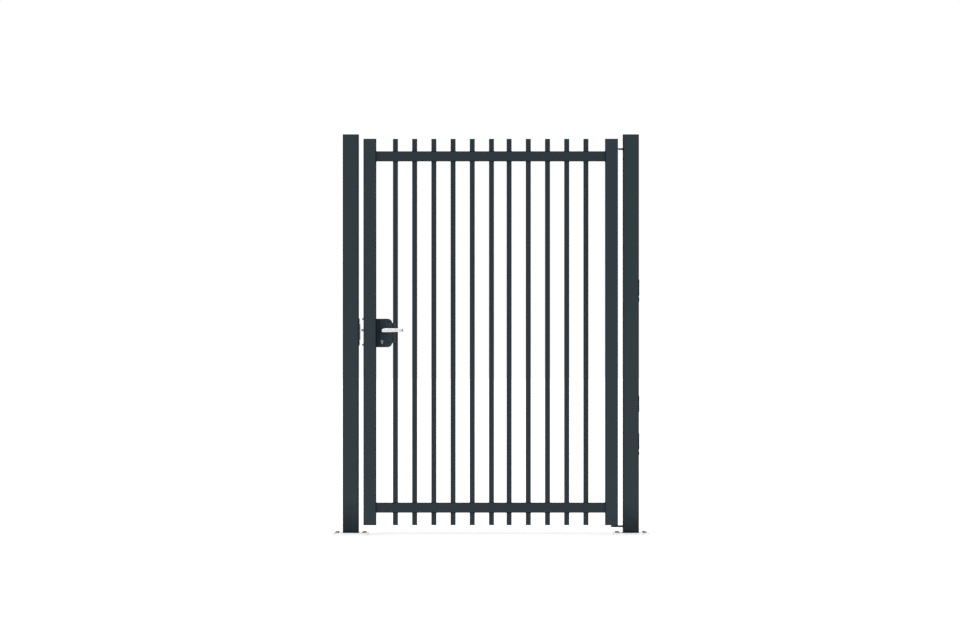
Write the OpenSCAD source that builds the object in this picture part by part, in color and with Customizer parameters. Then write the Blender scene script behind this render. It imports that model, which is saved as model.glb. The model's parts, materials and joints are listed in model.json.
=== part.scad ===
// Single-leaf steel garden gate between its two posts.
// The frame stands on the ground with +Z up. The origin is the centre of the
// hinge post's base plate, on its underside. The front faces -Y and the leaf
// runs from the hinge post towards -X. Lengths are in millimetres.

/* [Posts] */
// Outside width of the square post tubes
post_size = 80; // [60:1:120]
// Wall of the post tubes
post_wall = 3; // [2:0.5:5]
// Outside corner radius of the post tubes
post_corner = 6; // [4:0.5:10]
// Height of the posts above the top of the leaf
post_above_leaf = 22; // [5:1:100]
// Thickness of the flat caps on the posts
post_cap_t = 4; // [3:0.5:8]

/* [Base plates] */
// Side of the square base plates
plate_w = 180; // [150:1:260]
// Thickness of the base plates
plate_t = 10; // [6:1:20]
// Corner radius of the base plates
plate_corner = 10; // [4:1:20]
// Distance between the anchor holes, both ways
anchor_spacing = 136; // [120:1:140]
// Radius of the anchor holes
anchor_hole_r = 7; // [5:0.5:9]

/* [Leaf] */
// Overall width of the leaf
leaf_w = 1278; // [1000:1:1500]
// Overall height of the leaf
leaf_h = 1940; // [1400:1:2200]
// Height of the leaf above the base plates
leaf_lift = 38; // [25:1:120]
// Gap between the hinge post and the leaf
hinge_gap = 25; // [20:0.5:40]
// Gap between the latch post and the leaf
latch_gap = 23.5; // [22:0.5:40]
// Width of the two stiles, seen from the front
stile_w = 64; // [56:1:80]
// Depth of the two stiles, front to back
stile_d = 60; // [54:1:80]
// Wall of the stiles
stile_wall = 2.5; // [1.5:0.5:4]
// Outside corner radius of the stiles
stile_corner = 4; // [3:0.5:8]
// Height of the rails
rail_h = 50; // [30:1:80]
// Depth of the rails, front to back
rail_d = 40; // [34:1:52]
// Wall of the rails
rail_wall = 2; // [1.5:0.5:4]
// Outside corner radius of the rails
rail_corner = 3; // [2.5:0.5:6]
// Distance from each end of the leaf to the nearer rail
rail_inset = 62.5; // [20:0.5:200]

/* [Bars] */
// Side of the square bars
bar_size = 25; // [16:1:30]
// Wall of the bars
bar_wall = 1.5; // [1:0.5:2.5]
// Outside corner radius of the bars
bar_corner = 2; // [1.5:0.5:4]
// Width of the one bay in the middle that takes up the odd length
middle_bay = 88.5; // [50:0.5:140]
// Thickness of the caps on stiles and bars
end_cap_t = 3; // [2:0.5:6]

/* [Hinges] */
// Distance of the pivot line from the stile's face towards the post
pivot_inset = 15; // [13:0.5:20]
// Thickness of the steel hinge plates
hinge_plate_t = 8; // [6:1:12]
// Width of the hinge plates, front to back
hinge_plate_w = 40; // [30:1:40]
// Distance of the upper hinge plate's middle from the top of the leaf
upper_hinge_drop = 51; // [35:1:52]
// Radius of the lower pivot pin
lower_pin_r = 8; // [6:0.5:10]
// Length of the lower pivot pin above its plate
lower_pin_l = 34; // [20:1:60]
// Radius of the upper pivot pin
upper_pin_r = 6; // [4:0.5:8]
// Width of the upper tongue, front to back
tongue_w = 24; // [20:1:28]
// Gap between the lower hinge plate and the leaf, taken up by the thrust washer
foot_gap = 2; // [1.5:0.1:4]

/* [Lock] */
// Height of the lever's axis above the leaf's lower end
handle_height = 979; // [700:1:1100]
// Height of the lock case
lock_h = 143; // [130:1:180]
// Depth of the lock case, front to back
lock_d = 40; // [32:1:52]
// Thickness of the lock's two covers
cover_t = 4; // [2:0.5:8]
// Width of the case that the covers leave bare beside the stile
cover_start = 20; // [8:1:20]
// Step from the case's edge in to the cover's edge
cover_step = 1.5; // [0.5:0.5:4]
// Radius of the lock's outer corners
lock_corner = 25; // [8:1:30]
// Height of the lever's axis above the middle of the case
handle_rise = 14; // [5:1:20]
// Distance of the lever's axis from the stile
handle_set = 38; // [37:1:42]
// Distance of the key cylinder from the stile
cylinder_set = 30; // [29:1:42]
// Distance of the key cylinder below the lever's axis
cylinder_drop = 56; // [48:1:60]
// How far the latch bolt stands out of the stile at rest
latch_out = 11; // [8:0.5:14]
// Height of the latch bolt
latch_h = 12; // [10:1:20]
// Depth of the latch bolt, front to back
latch_d = 12; // [8:1:16]

/* [Lever] */
// Reach of the lever from its axis to its outer bend
lever_reach = 98; // [90:1:130]
// Height of the lever at its axis
lever_h = 21; // [18:1:26]
// Height of the lever at its tip
lever_tip_h = 17; // [12:1:26]
// Thickness of the lever, front to back
lever_t = 12; // [8:1:14]
// Outer radius of the bend that turns the lever's tip back to the gate
lever_bend_r = 24; // [16:1:26]
// Length of the lever behind its bend
lever_return = 6; // [0:1:12]
// Clear space for fingers between the lock cover and the lever
finger_space = 34; // [28:1:50]

/* [Keep] */
// Height of the keep plate
keep_h = 136; // [130:1:180]
// Depth of the keep plate, front to back
keep_d = 40; // [30:1:60]
// Thickness of the keep plate
keep_plate_t = 4; // [2:0.5:5]
// How far the keep's body stands off the post
keep_body_out = 7.5; // [6:0.5:9]
// Height of the keep's body
keep_body_h = 80; // [60:1:84]
// Width of the two slots for the keep's screws
keep_slot_w = 7; // [5:0.5:8]
// Length of the two slots for the keep's screws
keep_slot_l = 18; // [10:1:24]

/* [Fence clips] */
// Thickness of the flat clips on the hinge post's outer side
clip_t = 2.5; // [1.5:0.5:5]
// Length of one clip
clip_h = 82; // [50:1:100]
// Depth of one clip, front to back
clip_d = 30; // [20:1:60]
// Lower end of the low clip above the base plate
clip_low_z = 417; // [200:1:480]
// Lower end of the middle clip above the base plate
clip_mid_z = 606; // [600:1:800]
// Lower end of the high clip above the base plate
clip_high_z = 1189; // [1000:1:1250]

/* [Hidden] */
$fn = 48;
// Gap between a piece and the piece that it sits in
seat = 0.3;
// Play of a pin in its hole, on the radius
pin_play = 0.05;
// Gap between the leaf and fixed pieces that it swings past
swing_clear = 5;
// How far a cut runs past the piece that it cuts
overshoot = 1;

bar_count = 11;
bars_by_latch = 6;

// Heights
leaf_z0 = plate_t + leaf_lift;
leaf_z1 = leaf_z0 + leaf_h;
post_z1 = leaf_z1 + post_above_leaf;

// Places along the gate
hinge_face_x = -post_size / 2;
leaf_x1 = hinge_face_x - hinge_gap;
leaf_x0 = leaf_x1 - leaf_w;
latch_face_x = leaf_x0 - latch_gap;
latch_post_x = latch_face_x - post_size / 2;
hinge_stile_x = leaf_x1 - stile_w / 2;
lock_stile_x = leaf_x0 + stile_w / 2;
bay_x0 = leaf_x0 + stile_w;
bay_x1 = leaf_x1 - stile_w;
bar_pitch = (bay_x1 - bay_x0 - middle_bay) / bar_count;
function bar_x(i) = i <= bars_by_latch
    ? bay_x0 + i * bar_pitch
    : bay_x1 - (bar_count + 1 - i) * bar_pitch;

// Rails
bottom_rail_z = leaf_z0 + rail_inset + rail_h / 2;
top_rail_z = leaf_z1 - rail_inset - rail_h / 2;

// Hinges
pivot_x = leaf_x1 - pivot_inset;
lower_plate_z = leaf_z0 - foot_gap - hinge_plate_t;
upper_plate_z = leaf_z1 - upper_hinge_drop - hinge_plate_t / 2;
lug_l = hinge_gap - swing_clear;
lug_slot = lug_l * 0.7;
slot_z0 = upper_plate_z - swing_clear;
slot_h = hinge_plate_t + 2 * swing_clear;
bearing_t = 6;
foot_boss_r = 12;
foot_boss_h = 26;

// Lock
handle_z = leaf_z0 + handle_height;
handle_x = bay_x0 + handle_set;
lock_z = handle_z - handle_rise;
lock_w = bar_x(1) - bar_size / 2 - bay_x0 - 3;
cover_y = lock_d / 2;
cylinder_x = bay_x0 + cylinder_set;
cylinder_z = handle_z - cylinder_drop;
cylinder_r = 7.5;
cylinder_stem_w = 9;
cylinder_stem_drop = 10;
cylinder_proud = 3;
tie_h = 101;
tie_t = 3;
tie_over_bar = 16;
latch_tail = 12;
latch_stroke = latch_out;
latch_play = 0.5;
latch_tip = 3;

// Lever
spindle_side = 8;
hub_r = 9;
rose_r = 17;
rose_t = 3;
lever_back_l = 11;
lever_corner = 4;
shoulder_drop = 4.5;
shoulder_l = 19;
hub_y = cover_y + cover_t + rose_t + seat;
grip_y = cover_y + cover_t + finger_space;
spindle_end_y = hub_y + (grip_y - hub_y) / 2;

// Keep
keep_z = handle_z - 9;
keep_corner = 5;
pocket_floor = 1;
pocket_margin = 6;
pocket_h = latch_h + 2 * pocket_margin;
pocket_d = latch_d + 2 * pocket_margin;
slot_z = (keep_h / 2 + keep_body_h / 2) / 2;

// Fence clips
clip_corner = 3;

module steel_grey() { color([0.20, 0.245, 0.265]) children(); }
module zinc() { color([0.80, 0.82, 0.84]) children(); }
module black_cover() { color([0.14, 0.17, 0.19]) children(); }
module bright_metal() { color([0.88, 0.88, 0.87]) children(); }

// A rectangle with true round corners, centred on the origin
module round_rect(w, h, r) {
    square([w - 2 * r, h], center = true);
    square([w, h - 2 * r], center = true);
    for (x = [-1, 1], y = [-1, 1])
        translate([x * (w / 2 - r), y * (h / 2 - r)])
            circle(r = r);
}

// A slot with round ends, centred on the origin, with its length along X
module slot(l, w) {
    square([l - w, w], center = true);
    for (x = [-1, 1])
        translate([x * (l - w) / 2, 0])
            circle(r = w / 2);
}

// The section of a rectangular tube
module tube_section(w, d, wall, r) {
    difference() {
        round_rect(w, d, r);
        round_rect(w - 2 * wall, d - 2 * wall, max(r - wall, 0.5));
    }
}

// An upright tube with its lower end at z0
module upright(x, z0, z1, w, d, wall, r) {
    translate([x, 0, z0])
        linear_extrude(z1 - z0)
            tube_section(w, d, wall, r);
}

// A flat end cap with the plug that holds it in the tube.
// The plug points down for top = true and up otherwise.
module end_cap(x, z, w, d, wall, r, t, top = true) {
    plug_w = w - 2 * (wall + seat);
    plug_d = d - 2 * (wall + seat);
    plug_l = 3 * t;
    translate([x, 0, z])
        linear_extrude(t)
            round_rect(w, d, r);
    translate([x, 0, top ? z - plug_l : z + t])
        linear_extrude(plug_l)
            difference() {
                round_rect(plug_w, plug_d, max(r - wall, 0.5));
                round_rect(plug_w - 2 * t, plug_d - 2 * t, 0.5);
            }
}

// ---------------------------------------------------------------- posts
module post(x) {
    steel_grey()
        upright(x, plate_t, post_z1 - post_cap_t,
            post_size, post_size, post_wall, post_corner);
}

module post_cap(x) {
    steel_grey()
        end_cap(x, post_z1 - post_cap_t,
            post_size, post_size, post_wall, post_corner, post_cap_t);
}

module base_plate(x) {
    zinc()
        translate([x, 0, 0])
            difference() {
                linear_extrude(plate_t)
                    round_rect(plate_w, plate_w, plate_corner);
                for (sx = [-1, 1], sy = [-1, 1])
                    translate([sx * anchor_spacing / 2, sy * anchor_spacing / 2, -overshoot])
                        cylinder(r = anchor_hole_r, h = plate_t + 2 * overshoot);
            }
}

// The clips that take the neighbouring fence panel
module fence_clips() {
    steel_grey()
        for (z = [clip_low_z, clip_mid_z, clip_high_z])
            translate([post_size / 2, 0, plate_t + z + clip_h / 2])
                rotate([90, 0, 90])
                    linear_extrude(clip_t)
                        round_rect(clip_d, clip_h, clip_corner);
}

// ---------------------------------------------------------------- hinges
// The lower plate is welded to the post and reaches under the stile
module lower_hinge_plate() {
    steel_grey()
        translate([0, 0, lower_plate_z])
            difference() {
                linear_extrude(hinge_plate_t) {
                    translate([pivot_x, -hinge_plate_w / 2])
                        square([hinge_face_x - pivot_x, hinge_plate_w]);
                    translate([pivot_x, 0])
                        circle(r = hinge_plate_w / 2);
                }
                translate([pivot_x, 0, -overshoot])
                    cylinder(r = lower_pin_r, h = hinge_plate_t + 2 * overshoot);
            }
}

module lower_pivot_pin() {
    zinc()
        translate([pivot_x, 0, lower_plate_z]) {
            cylinder(r = lower_pin_r, h = hinge_plate_t + lower_pin_l - 2);
            translate([0, 0, hinge_plate_t + lower_pin_l - 2])
                cylinder(r1 = lower_pin_r, r2 = lower_pin_r - 2, h = 2);
        }
}

module lower_thrust_washer() {
    zinc()
        translate([pivot_x, 0, leaf_z0 - foot_gap])
            difference() {
                cylinder(r = foot_boss_r + 2, h = foot_gap - seat);
                translate([0, 0, -overshoot])
                    cylinder(r = lower_pin_r + pin_play, h = foot_gap + 2 * overshoot);
            }
}

// The upper lug is welded to the post and holds the tongue in a notch
module upper_hinge_lug() {
    steel_grey()
        translate([hinge_face_x - lug_l, 0, upper_plate_z])
            linear_extrude(hinge_plate_t)
                difference() {
                    translate([0, -hinge_plate_w / 2])
                        square([lug_l, hinge_plate_w]);
                    translate([-overshoot, -tongue_w / 2])
                        square([lug_slot + overshoot, tongue_w]);
                }
}

module upper_pivot_tongue() {
    zinc()
        translate([0, 0, upper_plate_z])
            difference() {
                linear_extrude(hinge_plate_t) {
                    translate([pivot_x, -tongue_w / 2])
                        square([hinge_face_x - lug_l + lug_slot - pivot_x, tongue_w]);
                    translate([pivot_x, 0])
                        circle(r = tongue_w / 2);
                }
                translate([pivot_x, 0, -overshoot])
                    cylinder(r = upper_pin_r + pin_play, h = hinge_plate_t + 2 * overshoot);
            }
}

// Two plates inside the stile hold the upper pin above and below the tongue
module upper_pivot_bearings() {
    zinc()
        for (z = [slot_z0 - bearing_t, slot_z0 + slot_h])
            translate([0, 0, z])
                difference() {
                    translate([hinge_stile_x, 0, 0])
                        linear_extrude(bearing_t)
                            round_rect(stile_w - 2 * (stile_wall + seat),
                                stile_d - 2 * (stile_wall + seat),
                                max(stile_corner - stile_wall, 0.5));
                    translate([pivot_x, 0, -overshoot])
                        cylinder(r = upper_pin_r, h = bearing_t + 2 * overshoot);
                }
}

module upper_pivot_pin() {
    zinc()
        translate([pivot_x, 0, slot_z0 - bearing_t])
            cylinder(r = upper_pin_r, h = slot_h + 2 * bearing_t);
}

// ---------------------------------------------------------------- leaf frame
// The way that the tongue and lug need through the stile when the leaf swings
module tongue_slot() {
    reach = stile_w + stile_d;
    back_x = pivot_x - hinge_plate_w / 2 - swing_clear;
    front_y = -tongue_w / 2 - swing_clear;
    translate([back_x, front_y, slot_z0])
        cube([reach, reach, slot_h]);
}

module hinge_stile() {
    steel_grey()
        difference() {
            upright(hinge_stile_x, leaf_z0, leaf_z1 - end_cap_t,
                stile_w, stile_d, stile_wall, stile_corner);
            tongue_slot();
        }
}

module lock_stile() {
    steel_grey()
        difference() {
            upright(lock_stile_x, leaf_z0 + end_cap_t, leaf_z1 - end_cap_t,
                stile_w, stile_d, stile_wall, stile_corner);
            translate([lock_stile_x, 0, handle_z])
                cube([stile_w + 2 * overshoot, latch_d + 2 * latch_play,
                    latch_h + 2 * latch_play], center = true);
        }
}

// The solid foot in the hinge stile's lower end carries the leaf on its pin
module hinge_stile_foot() {
    zinc()
        difference() {
            union() {
                translate([hinge_stile_x, 0, leaf_z0])
                    linear_extrude(hinge_plate_t)
                        round_rect(stile_w - 2 * (stile_wall + seat),
                            stile_d - 2 * (stile_wall + seat),
                            max(stile_corner - stile_wall, 0.5));
                translate([pivot_x, 0, leaf_z0])
                    cylinder(r = foot_boss_r - seat, h = hinge_plate_t + foot_boss_h);
            }
            translate([pivot_x, 0, leaf_z0 - overshoot])
                cylinder(r = lower_pin_r + pin_play,
                    h = hinge_plate_t + foot_boss_h + 2 * overshoot);
        }
}

module stile_cap(x, top) {
    steel_grey()
        end_cap(x, top ? leaf_z1 - end_cap_t : leaf_z0,
            stile_w, stile_d, stile_wall, stile_corner, end_cap_t, top);
}

// A rail lies between the stiles and has a square hole at every bar
module rail(z) {
    hole = bar_size + 2 * seat;
    steel_grey()
        difference() {
            translate([bay_x0, 0, z])
                rotate([90, 0, 90])
                    linear_extrude(bay_x1 - bay_x0)
                        tube_section(rail_d, rail_h, rail_wall, rail_corner);
            for (i = [1 : bar_count])
                translate([bar_x(i), 0, z])
                    cube([hole, hole, rail_h + 2 * overshoot], center = true);
        }
}

// ---------------------------------------------------------------- bars
module bar(i) {
    steel_grey()
        upright(bar_x(i), leaf_z0 + end_cap_t, leaf_z1 - end_cap_t,
            bar_size, bar_size, bar_wall, bar_corner);
}

module bar_caps(top) {
    steel_grey()
        for (i = [1 : bar_count])
            end_cap(bar_x(i), top ? leaf_z1 - end_cap_t : leaf_z0,
                bar_size, bar_size, bar_wall, bar_corner, end_cap_t, top);
}

// ---------------------------------------------------------------- lock
// The lock's outline: square towards the stile, round at its outer corners.
// It starts at a distance from the stile and lies a step inside the case.
module lock_outline(start = 0, step = 0) {
    x0 = bay_x0 + start;
    x1 = bay_x0 + lock_w - step;
    half_h = lock_h / 2 - step;
    r = lock_corner - step;
    translate([x0, -half_h])
        square([x1 - r - x0, 2 * half_h]);
    translate([x0, r - half_h])
        square([x1 - x0, 2 * (half_h - r)]);
    for (s = [-1, 1])
        translate([x1 - r, s * (half_h - r)])
            circle(r = r);
}

// A plate of the given outline between two depths, standing in the XZ plane
module standing_plate(y0, y1, z) {
    translate([0, y1, z])
        rotate([90, 0, 0])
            linear_extrude(y1 - y0)
                children();
}

// The key cylinder's outline: a round barrel over a narrow stem
module cylinder_outline(grow = 0) {
    circle(r = cylinder_r + grow);
    translate([0, -cylinder_stem_drop])
        circle(r = cylinder_stem_w / 2 + grow);
    translate([-cylinder_stem_w / 2 - grow, -cylinder_stem_drop])
        square([cylinder_stem_w + 2 * grow, cylinder_stem_drop]);
}

module spindle_hole() {
    translate([handle_x, 0, handle_z])
        rotate([90, 0, 0])
            cylinder(r = hub_r + 2 * seat, h = 4 * lock_d, center = true);
}

module cylinder_hole() {
    translate([cylinder_x, 0, 0])
        standing_plate(-2 * lock_d, 2 * lock_d, cylinder_z)
            cylinder_outline(seat);
}

module lock_case() {
    black_cover()
        difference() {
            standing_plate(-cover_y, cover_y, lock_z)
                lock_outline();
            spindle_hole();
            cylinder_hole();
            translate([bay_x0 - overshoot, -latch_d / 2 - latch_play,
                    handle_z - latch_h / 2 - latch_play])
                cube([overshoot + latch_tail + latch_stroke + latch_play,
                    latch_d + 2 * latch_play, latch_h + 2 * latch_play]);
        }
}

// One cover, side = -1 at the front and 1 at the back, with its round rose
module lock_cover(side) {
    y0 = side < 0 ? -cover_y - cover_t : cover_y;
    rose_y = side < 0 ? y0 - rose_t : y0 + cover_t;
    black_cover()
        difference() {
            union() {
                standing_plate(y0, y0 + cover_t, lock_z)
                    lock_outline(cover_start, cover_step);
                translate([handle_x, 0, 0])
                    standing_plate(rose_y, rose_y + rose_t, handle_z)
                        circle(r = rose_r);
            }
            spindle_hole();
            cylinder_hole();
        }
}

// The ties run from the case to the front and back of the first bar
module lock_bar_ties() {
    x0 = bay_x0 + lock_w;
    x1 = bar_x(1) - bar_size / 2 + tie_over_bar;
    y0 = bar_size / 2 + seat;
    steel_grey()
        for (side = [-1, 1])
            translate([x0, side < 0 ? -y0 - tie_t : y0, lock_z - tie_h / 2])
                cube([x1 - x0, tie_t, tie_h]);
}

module key_cylinder() {
    half = cover_y + cover_t + cylinder_proud;
    bright_metal()
        translate([cylinder_x, 0, 0])
            standing_plate(-half, half, cylinder_z)
                cylinder_outline();
}

// ---------------------------------------------------------------- handle
// The lever seen from the front, with its axis at the origin. Its upper corner
// near the axis slants, and past that it grows slimmer towards its tip.
module lever_front_view() {
    shoulder_x = shoulder_l - lever_back_l;
    polygon([
        [lever_corner - lever_back_l, -lever_h / 2],
        [shoulder_x, -lever_h / 2],
        [lever_reach, -lever_tip_h / 2],
        [lever_reach, lever_tip_h / 2],
        [shoulder_x, lever_h / 2],
        [-lever_back_l, lever_h / 2 - shoulder_drop],
        [-lever_back_l, lever_corner - lever_h / 2]
    ]);
    translate([lever_corner - lever_back_l, lever_corner - lever_h / 2])
        circle(r = lever_corner);
}

// The lever seen from above, with +Y away from the gate: a straight bar whose
// tip bends back towards the gate
module lever_top_view() {
    bend_x = lever_reach - lever_bend_r;
    bend_y = grip_y + lever_t - lever_bend_r;
    translate([-lever_back_l, grip_y])
        square([lever_back_l + bend_x, lever_t]);
    intersection() {
        translate([bend_x, bend_y])
            difference() {
                circle(r = lever_bend_r);
                circle(r = lever_bend_r - lever_t);
            }
        translate([bend_x, bend_y])
            square(lever_bend_r);
    }
    translate([lever_reach - lever_t, bend_y - lever_return])
        square([lever_t, lever_return]);
}

// One lever, mirrored to the front for side = -1
module lever(side) {
    far_y = grip_y + lever_t + overshoot;
    socket = spindle_side + 2 * pin_play;
    bright_metal()
        translate([handle_x, 0, handle_z])
            mirror([0, side < 0 ? 1 : 0, 0])
                difference() {
                    union() {
                        intersection() {
                            standing_plate(0, far_y, 0)
                                lever_front_view();
                            translate([0, 0, -lever_h])
                                linear_extrude(2 * lever_h)
                                    lever_top_view();
                        }
                        standing_plate(hub_y, grip_y + overshoot, 0)
                            circle(r = hub_r);
                    }
                    cube([socket, 2 * spindle_end_y + seat, socket], center = true);
                }
}

module handle_spindle() {
    zinc()
        translate([handle_x, 0, handle_z])
            cube([spindle_side, 2 * spindle_end_y, spindle_side], center = true);
}

// ---------------------------------------------------------------- latch
// The bolt's nose is bevelled on the front, the side that meets the keep first
module latch_bolt() {
    x0 = leaf_x0 - latch_out;
    x1 = bay_x0 + latch_tail;
    bright_metal()
        translate([0, 0, handle_z - latch_h / 2])
            linear_extrude(latch_h)
                polygon([
                    [x0, latch_d / 2],
                    [x0, latch_d / 2 - latch_tip],
                    [leaf_x0, -latch_d / 2],
                    [x1, -latch_d / 2],
                    [x1, latch_d / 2]
                ]);
}

// The outline of the keep, lying in the plane of the post's face
module keep_outline(h) {
    round_rect(keep_d, h, keep_corner);
}

// The keep on the latch post: a plate with a slot at each end for its screws,
// and a thicker body with the pocket for the latch bolt
module lock_keep() {
    steel_grey()
        translate([latch_face_x, 0, keep_z])
            difference() {
                rotate([90, 0, 90]) {
                    linear_extrude(keep_plate_t)
                        keep_outline(keep_h);
                    linear_extrude(keep_body_out)
                        keep_outline(keep_body_h);
                }
                translate([pocket_floor, -pocket_d / 2, handle_z - keep_z - pocket_h / 2])
                    cube([keep_body_out, pocket_d, pocket_h]);
                for (z = [-slot_z, slot_z])
                    translate([-overshoot, 0, z])
                        rotate([90, 0, 90])
                            linear_extrude(keep_plate_t + 2 * overshoot)
                                slot(keep_slot_l, keep_slot_w);
            }
}

post(0);  // hinge_post
post_cap(0);  // hinge_post_cap
base_plate(0);  // hinge_post_plate
post(latch_post_x);  // latch_post
post_cap(latch_post_x);  // latch_post_cap
base_plate(latch_post_x);  // latch_post_plate
lower_hinge_plate();
lower_pivot_pin();
lower_thrust_washer();
upper_hinge_lug();
upper_pivot_tongue();
lock_keep();
fence_clips();
hinge_stile();
stile_cap(hinge_stile_x, true);  // hinge_stile_cap
hinge_stile_foot();
lock_stile();
stile_cap(lock_stile_x, true);  // lock_stile_top_cap
stile_cap(lock_stile_x, false);  // lock_stile_bottom_cap
upper_pivot_bearings();
upper_pivot_pin();
rail(top_rail_z);  // top_rail
rail(bottom_rail_z);  // bottom_rail
bar(1);  // bar_01
bar(2);  // bar_02
bar(3);  // bar_03
bar(4);  // bar_04
bar(5);  // bar_05
bar(6);  // bar_06
bar(7);  // bar_07
bar(8);  // bar_08
bar(9);  // bar_09
bar(10);  // bar_10
bar(11);  // bar_11
bar_caps(true);  // bar_top_caps
bar_caps(false);  // bar_bottom_caps
lock_case();
lock_cover(-1);  // lock_cover_front
lock_cover(1);  // lock_cover_back
lock_bar_ties();
key_cylinder();
lever(-1);  // lever_front
lever(1);  // lever_back
handle_spindle();
latch_bolt();
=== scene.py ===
"""Finishes and small fittings of a single-leaf steel garden gate between two posts.

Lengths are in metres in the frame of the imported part: +Z is up, the gate's front faces -Y and the
leaf runs from the hinge post towards -X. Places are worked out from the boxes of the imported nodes.
"""

import json
import logging
import math
from abc import ABC, abstractmethod
from collections.abc import Callable, Iterable, Sequence
from dataclasses import dataclass, field, replace
from enum import Enum

import bmesh
import bpy
from mathutils import Matrix, Vector

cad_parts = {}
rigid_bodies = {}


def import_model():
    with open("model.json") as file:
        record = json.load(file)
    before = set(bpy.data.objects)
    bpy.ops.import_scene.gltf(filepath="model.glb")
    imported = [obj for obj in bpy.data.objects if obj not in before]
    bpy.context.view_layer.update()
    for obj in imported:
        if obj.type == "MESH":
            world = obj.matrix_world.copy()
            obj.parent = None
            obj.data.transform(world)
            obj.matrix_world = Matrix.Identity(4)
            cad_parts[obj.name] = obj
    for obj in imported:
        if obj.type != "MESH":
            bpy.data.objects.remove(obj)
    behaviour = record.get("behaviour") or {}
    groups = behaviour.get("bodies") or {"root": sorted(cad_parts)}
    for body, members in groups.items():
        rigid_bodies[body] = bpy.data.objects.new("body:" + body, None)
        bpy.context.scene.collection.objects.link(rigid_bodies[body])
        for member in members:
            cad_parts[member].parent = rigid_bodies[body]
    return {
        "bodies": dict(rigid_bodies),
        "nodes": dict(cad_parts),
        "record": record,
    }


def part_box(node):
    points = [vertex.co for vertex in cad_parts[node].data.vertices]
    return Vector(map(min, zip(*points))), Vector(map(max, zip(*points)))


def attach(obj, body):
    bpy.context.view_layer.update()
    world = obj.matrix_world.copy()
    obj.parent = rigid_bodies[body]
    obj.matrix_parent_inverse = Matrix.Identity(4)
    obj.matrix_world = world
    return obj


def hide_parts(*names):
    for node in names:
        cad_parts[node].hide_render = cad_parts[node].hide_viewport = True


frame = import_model()

LOG = logging.getLogger("garden_gate")
Color = tuple[float, float, float]
Measure = float | Callable[[float], float]
Tree = bpy.types.NodeTree
Node = bpy.types.Node
Outputs = bpy.types.NodeOutputs
Socket = bpy.types.NodeSocket
Results = dict[str, Socket]
Mesh = bpy.types.Mesh
Object = bpy.types.Object
Pieces = list[Object]

NOISE_MIDDLE = 0.5
CORNERS = ((-1, -1), (1, -1), (1, 1), (-1, 1))
QUARTERS = ((1, 1, 0), (-1, 1, 90), (-1, -1, 180), (1, -1, 270))
BAR_NODES = tuple(f"bar_{number:02d}" for number in range(1, 12))
PIVOT_NODES = ("lower_pivot_pin", "lower_thrust_washer", "hinge_stile_foot", "upper_pivot_tongue",
               "upper_pivot_bearings", "upper_pivot_pin", "handle_spindle")


class Body(Enum):
    """The moving bodies that a piece can ride on."""

    POSTS = "posts"
    LEAF = "leaf"
    HANDLE = "handle"
    LATCH = "latch"


class Slot(Enum):
    """The record's material slots."""

    COAT = "powder_coated_steel"
    ZINC = "galvanised_steel"
    LOCK = "lock_coating"
    SATIN = "satin_metal"
    NICKEL = "dull_nickel"


class Side(Enum):
    """The two faces of the gate, as the sign of Y."""

    FRONT = -1
    BACK = 1


# ------------------------------------------------------------------ shader groups and finishes
def set_inputs(tree: Tree, node: Node, inputs: dict) -> None:
    """Links a node's inputs, or sets their values.

    Args:
        tree: The node tree.
        node: The node.
        inputs: Values or output sockets by the input's name or number. A colour has three numbers.
    """
    for key, value in inputs.items():
        socket = node.inputs[key]
        if isinstance(value, Socket):
            tree.links.new(value, socket)
        else:
            socket.default_value = (*value, 1.0) if socket.type == "RGBA" else value


def add_node(tree: Tree, kind: str, inputs: dict | None = None, **settings: object) -> Node:
    """Adds a shader node and fills its sockets.

    Args:
        tree: The material's or group's node tree.
        kind: The node's type, without its ShaderNode prefix.
        inputs: Values or output sockets by the input's name or number.
        **settings: Properties of the node itself.

    Returns:
        The new node.
    """
    node = tree.nodes.new("ShaderNode" + kind)
    for name, value in settings.items():
        setattr(node, name, value)
    set_inputs(tree, node, inputs or {})
    return node


def mix_colors(tree: Tree, share: object, low: object, high: object) -> Socket:
    """Mixes two colours.

    Args:
        tree: The node tree.
        share: Share of the second colour, a value or a socket.
        low: The first colour, a tuple or a socket.
        high: The second colour, a tuple or a socket.

    Returns:
        The socket with the mixed colour.
    """
    factor, first, second, mixed = 0, 6, 7, 2
    node = add_node(tree, "Mix", {factor: share, first: low, second: high}, data_type="RGBA")
    return node.outputs[mixed]


def remap(tree: Tree, value: object, low: float, high: float,
          out_low: float = 0.0, out_high: float = 1.0) -> Socket:
    """Stretches a value from one range to another and clamps it.

    Args:
        tree: The node tree.
        value: The value to stretch.
        low: The value that becomes out_low.
        high: The value that becomes out_high.
        out_low: Lower end of the result.
        out_high: Upper end of the result.

    Returns:
        The socket with the stretched value.
    """
    return add_node(tree, "MapRange", {"Value": value, "From Min": low, "From Max": high,
                                       "To Min": out_low, "To Max": out_high}).outputs[0]


def calculate(tree: Tree, operation: str, *values: object) -> Socket:
    """Adds one Math node.

    Args:
        tree: The node tree.
        operation: The node's operation.
        *values: Its values in order, numbers or sockets.

    Returns:
        The socket with the result.
    """
    return add_node(tree, "Math", dict(enumerate(values)), operation=operation).outputs[0]


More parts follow.
